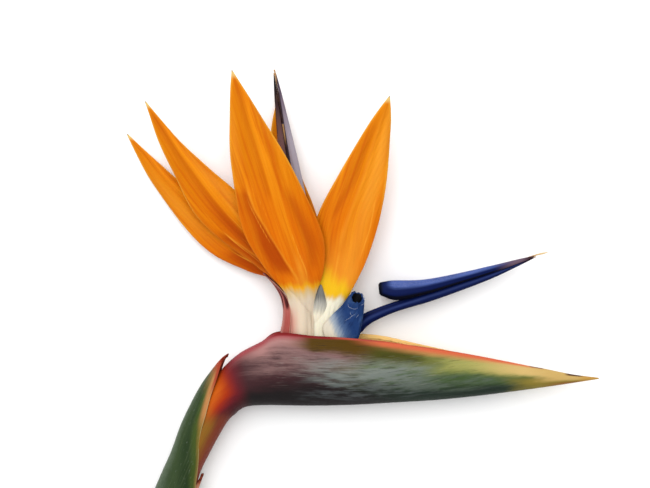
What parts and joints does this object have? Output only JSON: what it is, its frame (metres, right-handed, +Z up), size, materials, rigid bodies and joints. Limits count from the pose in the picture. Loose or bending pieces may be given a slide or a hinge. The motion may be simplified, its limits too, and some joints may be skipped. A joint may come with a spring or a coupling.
{
  "type": "bird of paradise flower",
  "caption": "Cut bird of paradise flower with orange sepals, blue arrow petals, a green and red spathe and a sheathed stem, lying on its side.",
  "frame": {"origin": "on the surface that the flower lies on, under the middle of its outline", "axes": "+Z up from the surface, +X toward the tip of the spathe's beak, +Y toward the tips of the sepals, -Y toward the cut end of the stem"},
  "size_m": [0.2432, 0.2952, 0.0349],
  "materials": {
    "stalk": "smooth plant skin, satin",
    "sheath": "ribbed green leaf sheath, satin, with dry reddish edges",
    "spathe": "waxy bract, satin with a grey bloom, maroon to green, red and yellow rims",
    "pink_bract": "thin pink and cream bract, satin",
    "sepal": "soft orange petal, finely ribbed, faintly translucent",
    "flower_base": "moist cream plant tissue",
    "blue_petal": "deep blue petal, satin with a fine grain",
    "faded_petal": "older petal, faded to grey purple and brown",
    "style": "dry cream to tan stigma and stamens"
  },
  "bodies": {
    "root": {"peduncle": "stalk", "spathe": "spathe", "upper_sheath": "sheath", "lower_sheath": "sheath", "inner_bract": "pink_bract", "flower_1_ovary": "flower_base", "flower_2_ovary": "flower_base", "flower_3_bud": "flower_base", "flower_4_bud": "flower_base", "flower_1_sepal_front": "sepal", "flower_1_sepal_right": "sepal", "flower_1_sepal_back": "sepal", "flower_2_sepal_left": "sepal", "flower_2_sepal_middle": "sepal", "flower_2_sepal_back": "sepal", "flower_1_petal_near": "blue_petal", "flower_1_petal_far": "blue_petal", "flower_1_nectary": "blue_petal", "flower_1_stamens": "style", "flower_1_style": "style", "flower_2_petal_left": "faded_petal", "flower_2_petal_right": "faded_petal", "flower_2_nectary": "faded_petal", "flower_2_stamens": "style", "flower_2_style": "style"}
  },
  "joints": []
}
